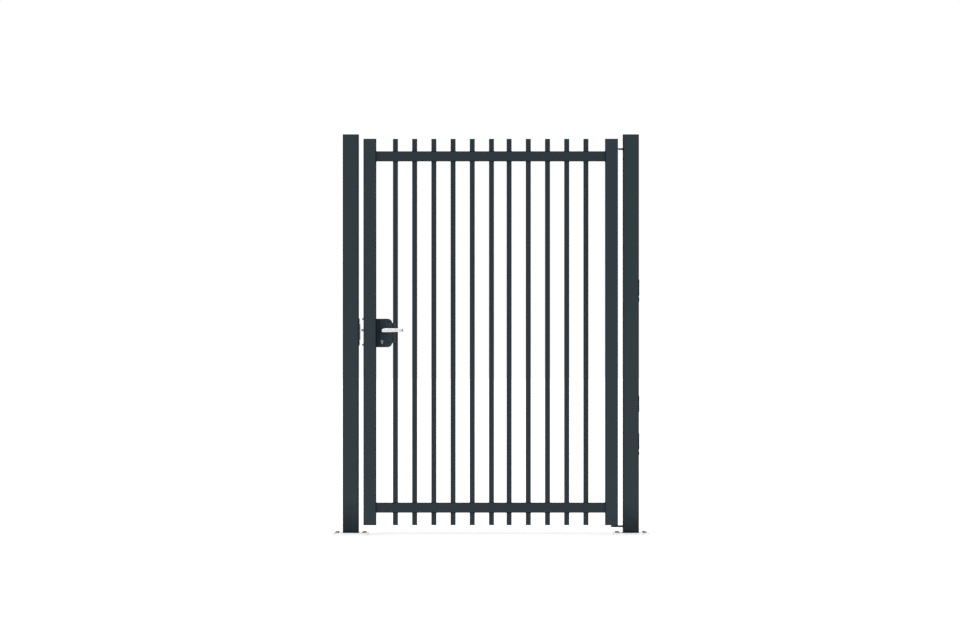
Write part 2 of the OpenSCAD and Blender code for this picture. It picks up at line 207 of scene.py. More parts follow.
@dataclass(frozen=True)
class Effect:
    """A shader node group that several finishes share. It is built once."""

    name: str
    inputs: dict[str, object]
    fill: Callable[[Tree, Outputs], Results]

    def tree(self) -> Tree:
        """Builds the group's tree, or finds it if it is there.

        Returns:
            The group's node tree.
        """
        found = bpy.data.node_groups.get(self.name)
        if found:
            return found
        tree = bpy.data.node_groups.new(self.name, "ShaderNodeTree")
        for name, value in self.inputs.items():
            kind = "NodeSocketColor" if isinstance(value, tuple) else "NodeSocketFloat"
            socket = tree.interface.new_socket(name, in_out="INPUT", socket_type=kind)
            socket.default_value = (*value, 1.0) if isinstance(value, tuple) else value
        results = self.fill(tree, tree.nodes.new("NodeGroupInput").outputs)
        for name, result in results.items():
            kind = "NodeSocketFloat" if result.type == "VALUE" else "NodeSocketColor"
            tree.interface.new_socket(name, in_out="OUTPUT", socket_type=kind)
        set_inputs(tree, tree.nodes.new("NodeGroupOutput"), results)
        return tree

    def place(self, tree: Tree, **values: object) -> Outputs:
        """Places the group in a material.

        Args:
            tree: The material's node tree.
            **values: Values or sockets by input name, with _ for a space.

        Returns:
            The group node's outputs.
        """
        inputs = {name.replace("_", " "): value for name, value in values.items()}
        return add_node(tree, "Group", inputs, node_tree=self.tree()).outputs


def noise(tree: Tree, size: object, detail: float = 2.0, stretch: Vector | None = None) -> Socket:
    """Noise over the piece's own coordinates.

    Args:
        tree: The node tree.
        size: Size of one patch of the noise.
        detail: Layers of finer noise.
        stretch: How much finer the noise is along each axis.

    Returns:
        The noise value, about 0.5.
    """
    place = add_node(tree, "TexCoord").outputs["Object"]
    if stretch is not None:
        place = add_node(tree, "Mapping", {"Vector": place, "Scale": stretch}).outputs[0]
    scale = calculate(tree, "DIVIDE", 1.0, size)
    return add_node(tree, "TexNoise", {"Vector": place, "Scale": scale, "Detail": detail}).outputs[0]


def around_middle(tree: Tree, value: Socket) -> Socket:
    """Returns a noise value shifted so that it swings about 0."""
    return calculate(tree, "SUBTRACT", value, NOISE_MIDDLE)


def own_place(tree: Tree) -> Outputs:
    """Returns the X, Y and Z of the piece's own coordinates."""
    return add_node(tree, "SeparateXYZ", {0: add_node(tree, "TexCoord").outputs["Object"]}).outputs


def fill_arris_shade(tree: Tree, given: Outputs) -> Results:
    """Fills the group whose mask is 1 along sharp arrises and 0 on flat faces.

    Args:
        tree: The group's tree.
        given: What the group is given.

    Returns:
        What the group gives.
    """
    rounded = add_node(tree, "Bevel", {"Radius": given["Width"]}, samples=4)
    normal = add_node(tree, "NewGeometry").outputs["Normal"]
    same = add_node(tree, "VectorMath", {0: rounded.outputs[0], 1: normal}, operation="DOT_PRODUCT")
    full_turn = 0.75
    mask = remap(tree, same.outputs["Value"], 1.0, full_turn)
    return {"Mask": calculate(tree, "MULTIPLY", mask, given["Strength"])}


def fill_corner_shade(tree: Tree, given: Outputs) -> Results:
    """Fills the group whose mask is 1 on the round corners of a square section.

    Args:
        tree: The group's tree.
        given: What the group is given.

    Returns:
        What the group gives.
    """
    normal = add_node(tree, "TexCoord").outputs["Normal"]
    size = add_node(tree, "VectorMath", {0: normal}, operation="ABSOLUTE").outputs[0]
    along = add_node(tree, "SeparateXYZ", {0: size}).outputs
    flatness = calculate(tree, "MAXIMUM", along["X"], along["Y"])
    flatness = calculate(tree, "MAXIMUM", flatness, along["Z"])
    flat, turned = 0.999, 0.95
    mask = remap(tree, flatness, flat, turned)
    return {"Mask": calculate(tree, "MULTIPLY", mask, given["Strength"])}


def fill_crown_highlight(tree: Tree, given: Outputs) -> Results:
    """Fills the group whose mask is 1 where a surface rolls over to face up or down, where the brushed
    metals paint a highlight.

    Args:
        tree: The group's tree.
        given: What the group is given.

    Returns:
        What the group gives.
    """
    along = add_node(tree, "SeparateXYZ", {0: add_node(tree, "TexCoord").outputs["Normal"]}).outputs
    level, rolled = 0.1, 0.6
    mask = remap(tree, calculate(tree, "ABSOLUTE", along["Z"]), level, rolled)
    return {"Mask": calculate(tree, "MULTIPLY", mask, given["Strength"])}


def fill_tone_drift(tree: Tree, given: Outputs) -> Results:
    """Fills the group that lets a colour drift a little over the surface.

    Args:
        tree: The group's tree.
        given: What the group is given.

    Returns:
        What the group gives.
    """
    swing = around_middle(tree, noise(tree, given["Size"], detail=3.0))
    gain = calculate(tree, "MULTIPLY_ADD", swing, given["Amount"], 1.0)
    scaled = add_node(tree, "VectorMath", {0: given["Color"], 1: gain}, operation="MULTIPLY")
    return {"Color": scaled.outputs[0]}


def fill_coat_grain(tree: Tree, given: Outputs) -> Results:
    """Fills the group with the orange peel and the fine grain of a baked coat.

    Args:
        tree: The group's tree.
        given: What the group is given.

    Returns:
        What the group gives.
    """
    peel = noise(tree, given["Peel Size"], detail=1.0)
    grain = noise(tree, given["Grain Size"], detail=2.0)
    grain_share = 0.4
    few, many = 0.35, 0.65
    return {"Height": calculate(tree, "MULTIPLY_ADD", grain, grain_share, peel),
            "Speckle": remap(tree, grain, few, many)}


def fill_ground_layer(tree: Tree, given: Outputs) -> Results:
    """Fills the group that lays a colour over whatever stands near the ground, thinning upwards, for
    dust as well as for painted ground shade, a painted contact shadow and painted floor light.

    Args:
        tree: The group's tree.
        given: What the group is given.

    Returns:
        What the group gives.
    """
    rise = calculate(tree, "DIVIDE", own_place(tree)["Z"], given["Reach"])
    spot_size = 0.03
    spatter = around_middle(tree, noise(tree, spot_size, detail=4.0))
    ragged = calculate(tree, "MULTIPLY_ADD", spatter, given["Spatter"], rise)
    mask = calculate(tree, "MULTIPLY", remap(tree, ragged, 1.0, 0.0), given["Amount"])
    return {"Color": mix_colors(tree, mask, given["Color"], given["Soil Color"])}


def fill_side_fade(tree: Tree, given: Outputs) -> Results:
    """Fills the group that pales a coat more and more towards +X.

    Args:
        tree: The group's tree.
        given: What the group is given.

    Returns:
        What the group gives.
    """
    run = calculate(tree, "SUBTRACT", own_place(tree)["X"], given["Start"])
    share = calculate(tree, "DIVIDE", run, given["Reach"])
    blotch_size = 0.02
    blotch = around_middle(tree, noise(tree, blotch_size, detail=3.0))
    mask = remap(tree, calculate(tree, "ADD", share, blotch), 0.0, 1.0)
    return {"Color": mix_colors(tree, mask, given["Color"], given["Worn Color"])}


def fill_brushed_grain(tree: Tree, given: Outputs) -> Results:
    """Fills the group with the fine lines of metal that was brushed along the gate.

    Args:
        tree: The group's tree.
        given: What the group is given.

    Returns:
        What the group gives.
    """
    fineness = 60.0
    stretch = Vector((1.0, fineness, fineness))
    lines = noise(tree, given["Line Length"], detail=3.0, stretch=stretch)
    faint, clear = 0.3, 0.7
    return {"Height": lines, "Lines": remap(tree, lines, faint, clear),
            "Clouds": noise(tree, given["Line Length"], detail=2.0)}


GREY: Color = (0.5, 0.5, 0.5)
WHITE: Color = (1.0, 1.0, 1.0)
ARRIS_SHADE = Effect("arris_shade", {"Width": 0.002, "Strength": 1.0}, fill_arris_shade)
WIDE_ARRIS_SHADE = Effect("wide_arris_shade", {"Width": 0.004, "Strength": 1.0}, fill_arris_shade)
CORNER_SHADE = Effect("corner_shade", {"Strength": 1.0}, fill_corner_shade)
CROWN_HIGHLIGHT = Effect("crown_highlight", {"Strength": 1.0}, fill_crown_highlight)
TONE_DRIFT = Effect("tone_drift", {"Color": GREY, "Size": 0.2, "Amount": 0.1}, fill_tone_drift)
COAT_GRAIN = Effect("coat_grain", {"Peel Size": 0.004, "Grain Size": 0.0007}, fill_coat_grain)
GROUND_LAYER = Effect("ground_layer", {"Color": GREY, "Soil Color": GREY, "Reach": 0.1,
                                     "Spatter": 1.0, "Amount": 0.3}, fill_ground_layer)
SIDE_FADE = Effect("side_fade", {"Color": GREY, "Worn Color": GREY, "Start": 0.0, "Reach": 0.1},
                   fill_side_fade)
BRUSHED_GRAIN = Effect("brushed_grain", {"Line Length": 0.02}, fill_brushed_grain)


def new_material(name: str) -> tuple[bpy.types.Material, Tree, Node]:
    """Makes an empty material with its shader.

    Args:
        name: The material's name.

    Returns:
        The material, its tree and its Principled shader.
    """
    material = bpy.data.materials.new(name)
    material.use_nodes = True
    tree = material.node_tree
    tree.nodes.clear()
    shader = add_node(tree, "BsdfPrincipled")
    add_node(tree, "OutputMaterial", {"Surface": shader.outputs[0]})
    return material, tree, shader


def add_bump(tree: Tree, shader: Node, height: Socket, depth: float) -> None:
    """Raises a fine relief on a shader's normal.

    Args:
        tree: The material's node tree.
        shader: The Principled shader.
        height: The relief, from 0 to 1.
        depth: Depth of the relief.
    """
    bump = add_node(tree, "Bump", {"Height": height, "Distance": depth})
    tree.links.new(bump.outputs[0], shader.inputs["Normal"])


@dataclass(frozen=True)
class GroundLayer:
    """One layer of colour that thins out upwards from the ground: real dust, painted ground shade, a
    painted contact shadow, or dust with painted floor light.
    """

    color: Color
    reach: float
    spatter: float
    amount: float

    def lay(self, tree: Tree, color: Socket) -> Socket:
        """Lays the layer over a colour.

        Args:
            tree: The material's node tree.
            color: The clean colour.

        Returns:
            The colour with the layer laid over it.
        """
        return GROUND_LAYER.place(tree, Color=color, Soil_Color=self.color, Reach=self.reach,
                                 Spatter=self.spatter, Amount=self.amount)["Color"]


# Partly dust and partly painted light bounced up from the white floor: a pale layer that lightens the
# coats towards the ground over more than a metre.
DUST_AND_FLOOR_LIGHT = GroundLayer((0.11, 0.115, 0.12), reach=1.25, spatter=0.3, amount=0.07)
# Painted shade: the post coat darkens towards the ground, and a painted contact shadow darkens the very
# foot of each post.
GROUND_SHADE = GroundLayer((0.0105, 0.0155, 0.0195), reach=0.165, spatter=0.6, amount=0.85)
FOOT_SHADOW = GroundLayer((0.0020, 0.0030, 0.0040), reach=0.026, spatter=0.4, amount=1.0)
PLATE_DUST = GroundLayer((0.45, 0.42, 0.38), reach=0.012, spatter=1.5, amount=0.08)


@dataclass(frozen=True)
class SideFade:
    """A coat paled more and more from a place towards +X."""

    color: Color
    start: float
    reach: float

    def lay(self, tree: Tree, color: Socket) -> Socket:
        """Lays the paling over a colour.

        Args:
            tree: The material's node tree.
            color: The colour before it is paled.

        Returns:
            The paled colour.
        """
        return SIDE_FADE.place(tree, Color=color, Worn_Color=self.color, Start=self.start,
                               Reach=self.reach)["Color"]


LOCK_FADE = SideFade((0.034, 0.050, 0.059), start=-1.245, reach=0.05)


@dataclass(frozen=True)
class Finish(ABC):
    """A finish of one of the record's slots. Its material is built once."""

    name: str
    slot: Slot = field(kw_only=True)

    def material(self) -> bpy.types.Material:
        """Builds the finish's material, or finds it if it is there.

        Returns:
            The material.
        """
        found = bpy.data.materials.get(self.name)
        if found:
            return found
        material, tree, shader = new_material(self.name)
        self.fill(tree, shader)
        return material

    @abstractmethod
    def fill(self, tree: Tree, shader: Node) -> None:
        """Gives the material its look.

        Args:
            tree: The material's node tree.
            shader: Its Principled shader.
        """


@dataclass(frozen=True)
class PowderCoat(Finish):
    """A baked powder coat on steel: a satin colour, with painted shade that darkens its arrises and
    round corners.
    """

    color: Color
    slot: Slot = field(default=Slot.COAT, kw_only=True)
    rim_shade_color: Color = (0.004, 0.006, 0.008)
    rim_shade_strength: float = 0.9
    rim_roughening: float = 0.25
    edges: Effect = CORNER_SHADE
    roughness: float = 0.66
    roughness_swing: float = 0.05
    specular: float = 0.05
    drift: float = 0.10
    drift_size: float = 0.35
    peel_depth: float = 0.00004
    speckle_color: Color = (0.11, 0.115, 0.12)
    speckle_share: float = 0.04
    layers: tuple[GroundLayer | SideFade, ...] = (DUST_AND_FLOOR_LIGHT,)

    def fill(self, tree: Tree, shader: Node) -> None:
        """Gives the material the coat's look.

        Args:
            tree: The material's node tree.
            shader: Its Principled shader.
        """
        grain = COAT_GRAIN.place(tree)
        # Painted shade: the edge mask darkens the coat towards its rim shade colour along arrises and
        # round corners.
        rim = self.edges.place(tree, Strength=self.rim_shade_strength)["Mask"]
        drift = TONE_DRIFT.place(tree, Color=self.color, Size=self.drift_size, Amount=self.drift)
        speckle = calculate(tree, "MULTIPLY", grain["Speckle"], self.speckle_share)
        speckled = mix_colors(tree, speckle, drift["Color"], self.speckle_color)
        color = mix_colors(tree, rim, speckled, self.rim_shade_color)
        for layer in self.layers:
            color = layer.lay(tree, color)
        rough = remap(tree, grain["Speckle"], 0.0, 1.0,
                      self.roughness - self.roughness_swing, self.roughness + self.roughness_swing)
        rim_rough = calculate(tree, "MULTIPLY_ADD", rim, self.rim_roughening, rough)
        set_inputs(tree, shader, {"Base Color": color, "Roughness": rim_rough,
                                  "Specular IOR Level": self.specular})
        add_bump(tree, shader, grain["Height"], self.peel_depth)


@dataclass(frozen=True)
class Galvanised(Finish):
    """Zinc on steel, dulled by its oxide, with the spangle that the zinc freezes in."""

    bright: Color = (0.955, 0.96, 0.965)
    dull: Color = (0.81, 0.82, 0.83)
    slot: Slot = field(default=Slot.ZINC, kw_only=True)
    spangle_size: float = 0.009
    spangle_relief: float = 0.00003
    drift: float = 0.1
    drift_size: float = 0.06
    roughness: float = 0.46
    roughness_below: float = 0.08
    roughness_above: float = 0.12
    metallic: float = 0.25
    specular: float = 0.25

    def fill(self, tree: Tree, shader: Node) -> None:
        """Gives the material the zinc's look.

        Args:
            tree: The material's node tree.
            shader: Its Principled shader.
        """
        place = add_node(tree, "TexCoord").outputs["Object"]
        scale = 1.0 / self.spangle_size
        cells = add_node(tree, "TexVoronoi", {"Vector": place, "Scale": scale}).outputs
        shade = add_node(tree, "SeparateColor", {0: cells["Color"]}).outputs[0]
        spangle = mix_colors(tree, shade, self.dull, self.bright)
        drift = TONE_DRIFT.place(tree, Color=spangle, Size=self.drift_size, Amount=self.drift)
        rough = remap(tree, shade, 0.0, 1.0, self.roughness - self.roughness_below,
                      self.roughness + self.roughness_above)
        set_inputs(tree, shader, {"Base Color": PLATE_DUST.lay(tree, drift["Color"]),
                                  "Roughness": rough, "Metallic": self.metallic,
                                  "Specular IOR Level": self.specular})
        add_bump(tree, shader, cells["Distance"], self.spangle_relief)


@dataclass(frozen=True)
class BrushedMetal(Finish):
    """Bare metal, brushed along the gate, with its edges painted another tone: a painted highlight
    where the satin and latch metal roll over to face up or down, and painted shade along the nickel's
    arrises.
    """

    bright: Color
    dull: Color
    edge_highlight_shade_color: Color
    slot: Slot = field(default=Slot.SATIN, kw_only=True)
    edges: Effect = CROWN_HIGHLIGHT
    edge_highlight_shade_strength: float = 1.0
    drift: float = 0.1
    drift_size: float = 0.03
    roughness: float = 0.36
    roughness_below: float = 0.06
    roughness_above: float = 0.08
    metallic: float = 1.0
    line_length: float = 0.025
    relief: float = 0.00002

    def fill(self, tree: Tree, shader: Node) -> None:
        """Gives the material the metal's look.

        Args:
            tree: The material's node tree.
            shader: Its Principled shader.
        """
        brushed = BRUSHED_GRAIN.place(tree, Line_Length=self.line_length)
        tone = mix_colors(tree, brushed["Lines"], self.dull, self.bright)
        drift = TONE_DRIFT.place(tree, Color=tone, Size=self.drift_size, Amount=self.drift)
        # Painted highlight on the satin and latch metal, painted shade on the nickel: the edge mask
        # lays the edge colour over these edges.
        edge = self.edges.place(tree, Strength=self.edge_highlight_shade_strength)["Mask"]
        thin, thick = 0.3, 0.7
        rough = remap(tree, brushed["Clouds"], thin, thick,
                      self.roughness - self.roughness_below, self.roughness + self.roughness_above)
        set_inputs(tree, shader, {
            "Base Color": mix_colors(tree, edge, drift["Color"], self.edge_highlight_shade_color),
            "Roughness": rough, "Metallic": self.metallic})
        add_bump(tree, shader, brushed["Height"], self.relief)


POST_COAT = PowderCoat("post_coat", (0.0262, 0.0400, 0.0478), layers=(DUST_AND_FLOOR_LIGHT, GROUND_SHADE, FOOT_SHADOW))
STILE_COAT = PowderCoat("stile_coat", (0.0262, 0.0400, 0.0478))
# Painted shade: the rails and bars wear darker copies of the one coat that the posts and stiles wear.
SHADED_RAIL_COAT = PowderCoat("rail_coat", (0.0238, 0.0345, 0.0420))
SHADED_BAR_COAT = PowderCoat("bar_coat", (0.0232, 0.0330, 0.0400), rim_shade_strength=1.0)
WELD_COAT = PowderCoat("weld_coat", (0.0225, 0.0330, 0.0400), rim_shade_strength=0.0)
PLATE_COAT = PowderCoat("plate_coat", (0.0235, 0.0345, 0.0420), edges=ARRIS_SHADE, rim_shade_strength=0.7)
HINGE_COAT = PowderCoat("hinge_coat", (0.0080, 0.0110, 0.0135), edges=ARRIS_SHADE)
# Painted shade: the caps wear a darker copy of the same coat, which darkens the tops of the posts and
# stiles.
SHADED_CAP_COAT = PowderCoat("cap_coat", (0.0150, 0.0225, 0.0270), edges=ARRIS_SHADE)
# Painted light: the ties and the keep are coloured lighter than the gate's coat, to make up for the
# shade they sit in beside the case and in the gap between post and stile.
LIT_TIE_COAT = PowderCoat("tie_coat", (0.0388, 0.0504, 0.0602), edges=ARRIS_SHADE, rim_shade_strength=0.2)
LIT_KEEP_COAT = PowderCoat("keep_coat", (0.150, 0.165, 0.195), edges=ARRIS_SHADE, rim_shade_strength=0.35)
CASE_COAT = PowderCoat("lock_case_coat", (0.0085, 0.0150, 0.0205), slot=Slot.LOCK,
                       edges=WIDE_ARRIS_SHADE, roughness=0.6, layers=(LOCK_FADE, DUST_AND_FLOOR_LIGHT))
COVER_COAT = replace(CASE_COAT, name="lock_cover_coat", color=(0.0170, 0.0250, 0.0320),
                     rim_shade_strength=1.0)
ZINC = Galvanised("bright_zinc")
DULL_ZINC = Galvanised("dull_zinc", (0.36, 0.37, 0.38), (0.25, 0.26, 0.27), spangle_size=0.004,
                       roughness=0.45, metallic=0.9)
PIVOT_ZINC = Galvanised("pivot_zinc", (0.60, 0.61, 0.62), (0.48, 0.49, 0.50), spangle_size=0.004,
                        roughness=0.42)
# The satin and latch metals' pale edge colour is a painted highlight; the nickel's dark edge colour is
# painted shade.
SATIN = BrushedMetal("satin_lever_metal", (0.72, 0.725, 0.735), (0.60, 0.605, 0.615),
                     (0.97, 0.97, 0.97), metallic=0.7)
LATCH_METAL = BrushedMetal("latch_metal", (0.90, 0.91, 0.94), (0.80, 0.81, 0.84),
                           (0.95, 0.95, 0.96), metallic=0.2, roughness=0.4)
NICKEL = BrushedMetal("cylinder_nickel", (0.204, 0.222, 0.249), (0.142, 0.155, 0.178),
                      (0.050, 0.055, 0.065), slot=Slot.NICKEL, edges=ARRIS_SHADE,
                      edge_highlight_shade_strength=0.9, line_length=0.006)


# ------------------------------------------------------------------ shapes
def new_object(name: str, data: bpy.types.ID) -> Object:
    """Puts a new object into the scene.

    Args:
        name: The object's name.
        data: Its mesh, light or camera.

    Returns:
        The object.
    """
    thing = bpy.data.objects.new(name, data)
    bpy.context.scene.collection.objects.link(thing)
    return thing


def spin(angle: float, axis: str) -> Matrix:
    """Returns a turn about one axis, in degrees."""
    return Matrix.Rotation(math.radians(angle), 4, axis)


def facing(direction: Vector) -> Matrix:
    """Returns the turn that brings +Z to a direction."""
    return direction.to_track_quat("Z", "Y").to_matrix().to_4x4()


def hex_radius(angle: float, width: float) -> float:
    """Finds how far a hexagon reaches at an angle.

    Args:
        angle: Angle about the hexagon's middle, in radians.
        width: Width across the flats.

    Returns:
        The distance from the middle to the hexagon's side.
    """
    sixth = math.pi / 3
    return width / 2 / math.cos((angle % sixth) - sixth / 2)


@dataclass
class Skin:
    """Points and faces of one piece while it is shaped."""

    points: list[Vector] = field(default_factory=list)
    faces: list[tuple[int, ...]] = field(default_factory=list)

    def add_rings(self, rings: Sequence[Sequence[Vector]], looped: bool = False) -> None:
        """Joins rings of points into a closed skin.

        Args:
            rings: Rings with the same number of points, each running round the same way.
            looped: Whether the last ring joins the first. Otherwise both ends are closed.
        """
        first = len(self.points)
        count = len(rings[0])
        self.points += [point for ring in rings for point in ring]
        spans = len(rings) if looped else len(rings) - 1
        for span in range(spans):
            low = first + span * count
            high = first + ((span + 1) % len(rings)) * count
            for i in range(count):
                j = (i + 1) % count
                self.faces.append((low + i, low + j, high + j, high + i))
        if not looped:
            last = first + (len(rings) - 1) * count
            self.faces.append(tuple(range(first + count - 1, first - 1, -1)))
            self.faces.append(tuple(range(last, last + count)))

    def add_turned(self, profile: Sequence[tuple[Measure, Measure]], place: Matrix,
                   segments: int = 48) -> None:
        """Turns a profile about the local Z axis.

        Args:
            profile: Pairs of radius and height. Either may be a function of the angle.
            place: Where the turned shape goes.
            segments: Points round each ring.
        """
        rings = []
        for radius, height in profile:
            ring = []
            for i in range(segments):
                angle = 2 * math.pi * i / segments
                reach = radius(angle) if callable(radius) else radius
                rise = height(angle) if callable(height) else height
                ring.append(place @ Vector((reach * math.cos(angle), reach * math.sin(angle), rise)))
            rings.append(ring)
        self.add_rings(rings)

    def to_mesh(self, name: str) -> Mesh:
        """Turns the skin into a mesh with its normals outwards.

        Args:
            name: The mesh's name.

        Returns:
            The mesh.
        """
        mesh = bpy.data.meshes.new(name)
        mesh.from_pydata(self.points, [], self.faces)
        work = bmesh.new()
        work.from_mesh(mesh)
        bmesh.ops.remove_doubles(work, verts=work.verts, dist=1e-7)
        bmesh.ops.recalc_face_normals(work, faces=work.faces)
        work.to_mesh(mesh)
        work.free()
        return mesh


def finish_piece(mesh: Mesh, name: str, body: Body, finish: Finish,
                 smooth_angle: float = 40.0) -> Object:
    """Puts a mesh into the scene as a finished piece that rides on a body.

    Args:
        mesh: The piece's mesh, in place.
        name: The piece's name.
        body: The body that it moves with.
        finish: Its finish.
        smooth_angle: Arrises sharper than this stay sharp, in degrees.

    Returns:
        The piece.
    """
    piece = new_object(name, mesh)
    mesh.materials.clear()
    mesh.materials.append(finish.material())
    mesh.shade_smooth()
    mesh.set_sharp_from_angle(angle=math.radians(smooth_angle))
    weighted = piece.modifiers.new("weighted_normals", "WEIGHTED_NORMAL")
    weighted.keep_sharp = True
    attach(piece, body.value)
    return piece


def carve(base: Mesh, tool: Mesh) -> Mesh:
    """Cuts one closed mesh out of another.

    Args:
        base: The mesh that is carved.
        tool: The mesh that is cut away.

    Returns:
        The carved mesh.
    """
    blank, cutter = new_object("blank", base), new_object("cutter", tool)
    work = blank.modifiers.new("work", "BOOLEAN")
    work.operation = "DIFFERENCE"
    work.object = cutter
    work.solver = "EXACT"
    graph = bpy.context.evaluated_depsgraph_get()
    result = bpy.data.meshes.new_from_object(blank.evaluated_get(graph))
    for part in (blank, cutter):
        bpy.data.objects.remove(part)
    return result


def eased_copy(node: str, body: Body, finish: Finish, ease: float) -> Object:
    """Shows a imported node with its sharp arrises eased.

    Args:
        node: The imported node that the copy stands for.
        body: The body that it moves with.
        finish: Its finish.
        ease: Width of the eased arris.

    Returns:
        The copy.
    """
    work = bmesh.new()
    work.from_mesh(frame["nodes"][node].data)
    bmesh.ops.remove_doubles(work, verts=work.verts, dist=1e-6)
    flat = math.radians(0.4)
    bmesh.ops.dissolve_limit(work, angle_limit=flat, verts=work.verts, edges=work.edges)
    sharp = math.radians(35)
    arrises = [edge for edge in work.edges
               if len(edge.link_faces) == 2 and edge.calc_face_angle() > sharp]
    bmesh.ops.bevel(work, geom=arrises, offset=ease, segments=2, profile=0.5, affect="EDGES",
                    clamp_overlap=True)
    mesh = bpy.data.meshes.new(node + "_eased")
    work.to_mesh(mesh)
    work.free()
    piece = finish_piece(mesh, node + "_eased", body, finish)
    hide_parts(node)
    return piece


def rounded_loop(width: float, depth: float, corner: float, step: float) -> list[Vector]:
    """Walks round a rectangle with round corners in the XY plane.

    Args:
        width: Size along X.
        depth: Size along Y.
        corner: Corner radius.
        step: Greatest distance between two points.

    Returns:
        The points, the last of which lies one step before the first.
    """
    points = []
    arc_steps = max(2, math.ceil(corner * math.pi / 2 / step))
    for index, (sx, sy, start) in enumerate(QUARTERS):
        middle = Vector((sx * (width / 2 - corner), sy * (depth / 2 - corner), 0))
        for k in range(arc_steps + 1):
            angle = math.radians(start + 90 * k / arc_steps)
            points.append(middle + corner * Vector((math.cos(angle), math.sin(angle), 0)))
        run = (depth if index % 2 else width) - 2 * corner
        ahead = Vector((-math.sin(math.radians(start + 90)), math.cos(math.radians(start + 90)), 0))
        steps = max(1, math.ceil(run / step))
        here = points[-1]
        points += [here + ahead * (run * k / steps) for k in range(1, steps)]
    return points


@dataclass(frozen=True)
class WeldBead:
    """A bead of weld along a closed seam, with the ripples of its pool."""

    radius: float = 0.002
    step: float = 0.0016
    ripple: float = 0.14
    sides: int = 8
    least_corner: float = 0.001

    def lay(self, skin: Skin, width: float, depth: float, corner: float, place: Matrix) -> None:
        """Lays one bead round a tube or plate.

        Args:
            skin: The skin that the bead is added to.
            width: The tube's size along the seam's X.
            depth: Its size along the seam's Y.
            corner: Its corner radius.
            place: The seam's place, with the tube along its Z.
        """
        path = rounded_loop(width, depth, max(corner, self.least_corner), self.step)
        up = Vector((0, 0, 1))
        turns = [2 * math.pi * k / self.sides for k in range(self.sides)]
        rings = []
        for i, point in enumerate(path):
            ahead = (path[(i + 1) % len(path)] - path[i - 1]).normalized()
            outwards = ahead.cross(up)
            reach = self.radius * (1 + self.ripple * (1 if i % 2 else -1))
            rings.append([place @ (point + reach * (math.cos(turn) * outwards + math.sin(turn) * up))
                          for turn in turns])
        skin.add_rings(rings, looped=True)


@dataclass(frozen=True)
class SocketScrew:
    """A button head screw with a hexagon socket."""

    head_radius: float = 0.0045
    head_height: float = 0.0025
    socket_width: float = 0.003
    socket_depth: float = 0.0015
    flat_share: float = 0.62
    skirt_share: float = 0.15
    dome_steps: int = 6

    def drive(self, skin: Skin, seat: Vector, direction: Vector) -> None:
        """Adds one screw head to a skin.

        Args:
            skin: The skin that the head is added to.
            seat: The middle of the head's underside.
            direction: The way that the head faces.
        """
        place = Matrix.Translation(seat) @ facing(direction)
        rim = self.flat_share * self.head_radius
        profile: list[tuple[Measure, Measure]] = [
            (self.head_radius, 0.0), (self.head_radius, self.skirt_share * self.head_height)]
        for k in range(1, self.dome_steps + 1):
            angle = math.pi / 2 * k / self.dome_steps
            rise = self.skirt_share + (1 - self.skirt_share) * math.sin(angle)
            profile.append((rim + (self.head_radius - rim) * math.cos(angle),
                            self.head_height * rise))
        bottom = self.head_height - self.socket_depth
        profile += [(self.socket, self.head_height), (self.socket, bottom)]
        skin.add_turned(profile, place)

    def socket(self, angle: float) -> float:
        """Returns how far the socket reaches at an angle."""
        return hex_radius(angle, self.socket_width)


@dataclass(frozen=True)
class HexHead:
    """A hexagon screw head with chamfered corners and a shallow dish in its top."""

    width: float
    height: float
    crown_share: float = 0.96
    chamfer_angle: float = 30.0
    dish_share: float = 0.8
    dish_floor_share: float = 0.75
    dish_depth: float = 0.0004

    def drive(self, skin: Skin, seat: Vector, turn: float) -> None:
        """Adds one upright head to a skin.

        Args:
            skin: The skin that the head is added to.
            seat: The middle of the head's underside.
            turn: How far the head is turned, in degrees.
        """
        place = Matrix.Translation(seat) @ spin(turn, "Z")
        crown = self.crown()
        dish_floor = self.height - self.dish_depth
        skin.add_turned([(self.outline, 0.0), (self.outline, self.shoulder), (self.top, self.height),
                         (self.dish_share * crown, self.height),
                         (self.dish_floor_share * crown, dish_floor)], place)

    def crown(self) -> float:
        """Returns the radius of the top's round edge."""
        return self.width / 2 * self.crown_share

    def outline(self, angle: float) -> float:
        """Returns how far the hexagon reaches at an angle."""
        return hex_radius(angle, self.width)

    def top(self, angle: float) -> float:
        """Returns how far the flat top reaches at an angle."""
        return min(self.crown(), self.outline(angle))

    def shoulder(self, angle: float) -> float:
        """Returns the height at which the chamfer starts at an angle."""
        slope = math.tan(math.radians(self.chamfer_angle))
        return self.height - max(0.0, self.outline(angle) - self.crown()) * slope


